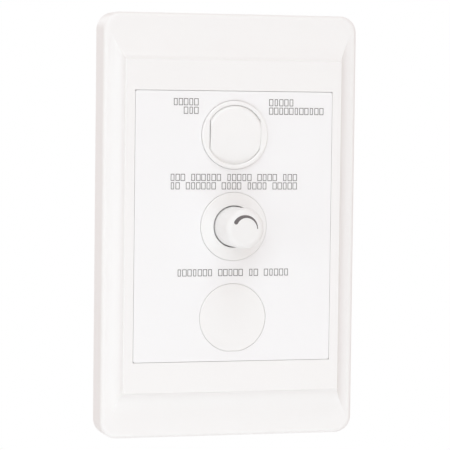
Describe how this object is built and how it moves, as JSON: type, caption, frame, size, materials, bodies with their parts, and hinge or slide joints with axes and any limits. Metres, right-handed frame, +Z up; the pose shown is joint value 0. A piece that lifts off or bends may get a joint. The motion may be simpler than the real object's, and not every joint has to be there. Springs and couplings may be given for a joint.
{
  "type": "fan speed controller wall plate",
  "caption": "Flush wall plate that switches a ventilation fan with a rocker and sets its speed with a rotary knob, with a timer board behind.",
  "frame": {"origin": "centre of the wall plane, midway between the two mounting screws", "axes": "+Z up the wall, +X to the right seen from the front, +Y into the wall along the mounting screws; the front faces -Y"},
  "size_m": [0.072, 0.0546, 0.116],
  "materials": {
    "surround_white": "fine satin gloss, warm white",
    "label_white": "smooth printed overlay, neutral white",
    "grid_white": "moulded, satin",
    "module_white": "smooth gloss",
    "housing_grey": "fine spark-eroded grain",
    "terminal_grey": "moulded, satin",
    "steel": "zinc plated",
    "brass": "turned",
    "contact_silver": "stamped",
    "copper": "enamelled wire",
    "ferrite": "matt coated",
    "board_green": "solder mask",
    "black_moulding": "matt moulded",
    "film_red": "dipped, glossy",
    "sleeve_blue": "shrunk sleeve",
    "resistor_tan": "lacquered",
    "aluminium": "folded sheet",
    "fuse_glass": "clear",
    "wire_brown": "insulated"
  },
  "bodies": {
    "base": {"grid_plate": "grid_white", "face_label": "label_white", "mounting_screws": "steel", "switch_bezel": "module_white", "rocker_pivot_pin": "steel", "common_terminal": "brass", "load_terminal": "brass", "switch_body": "grid_white", "knob_bezel": "module_white", "pot_body": "contact_silver", "pot_track": "resistor_tan", "pot_nut": "brass", "pot_pins": "contact_silver", "blanking_disc": "module_white", "circuit_board": "board_green", "board_screws": "steel", "triac": "black_moulding", "heat_sink": "aluminium", "triac_screw": "steel", "choke_core": "ferrite", "choke_winding": "copper", "film_capacitor": "film_red", "electrolytic_capacitor": "sleeve_blue", "timer_chip": "black_moulding", "resistors": "resistor_tan", "fuse_body": "fuse_glass", "fuse_caps": "contact_silver", "terminal_block": "terminal_grey", "terminal_clamps": "brass", "terminal_screws": "steel", "rear_housing": "housing_grey", "housing_screws": "steel", "switch_wires": "wire_brown"},
    "rocker": {"rocker": "module_white", "rocker_spring": "steel", "rocker_plunger": "black_moulding"},
    "seesaw": {"seesaw_contact": "contact_silver"},
    "knob": {"speed_knob": "module_white", "pot_shaft": "aluminium", "pot_wiper": "black_moulding"},
    "cover": {"surround": "surround_white"}
  },
  "joints": [
    {"name": "rocker_tilt", "type": "hinge", "parent": "base", "child": "rocker", "pos_m": [0, -0.0094, 0.025], "axis": [-1, 0, 0], "range_deg": [0, 14]},
    {"name": "contact_tilt", "type": "hinge", "parent": "base", "child": "seesaw", "pos_m": [0, -0.0029, 0.025], "axis": [1, 0, 0], "range_deg": [0, 14]},
    {"name": "knob_turn", "type": "hinge", "parent": "base", "child": "knob", "pos_m": [0, 0, 0], "axis": [0, -1, 0], "range_deg": [-115, 155]},
    {"name": "cover_pull", "type": "slide", "parent": "base", "child": "cover", "axis": [0, -1, 0], "range_m": [0, 0.03]}
  ],
  "couplings": [
    {"joint": "contact_tilt", "follows": "rocker_tilt", "ratio": 1}
  ]
}
